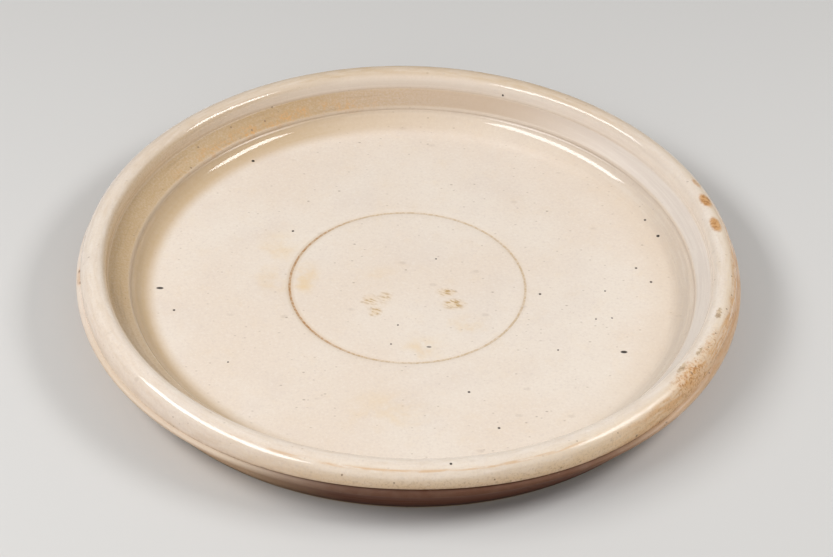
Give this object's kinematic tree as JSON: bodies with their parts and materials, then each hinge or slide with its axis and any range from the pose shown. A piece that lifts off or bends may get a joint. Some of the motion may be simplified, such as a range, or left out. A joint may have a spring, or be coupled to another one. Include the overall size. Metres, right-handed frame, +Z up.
{
  "type": "plant saucer",
  "caption": "Shallow round stoneware saucer with a rolled rim, a coved well and a bare foot; stands under a plant pot and holds the water that drains from it.",
  "frame": {"origin": "middle of the foot, on the table plane", "axes": "+Z up along the turning axis; X and Y lie in the table plane, and the side nearest the picture's camera is -Y"},
  "size_m": [0.3, 0.3, 0.03],
  "materials": {
    "stoneware": "bare buff stoneware, matt and slightly gritty, with turning marks",
    "glaze": "glossy warm white glaze with iron specks and tan stains"
  },
  "bodies": {
    "root": {"stoneware_body": "stoneware", "glaze_coat": "glaze"}
  },
  "joints": []
}
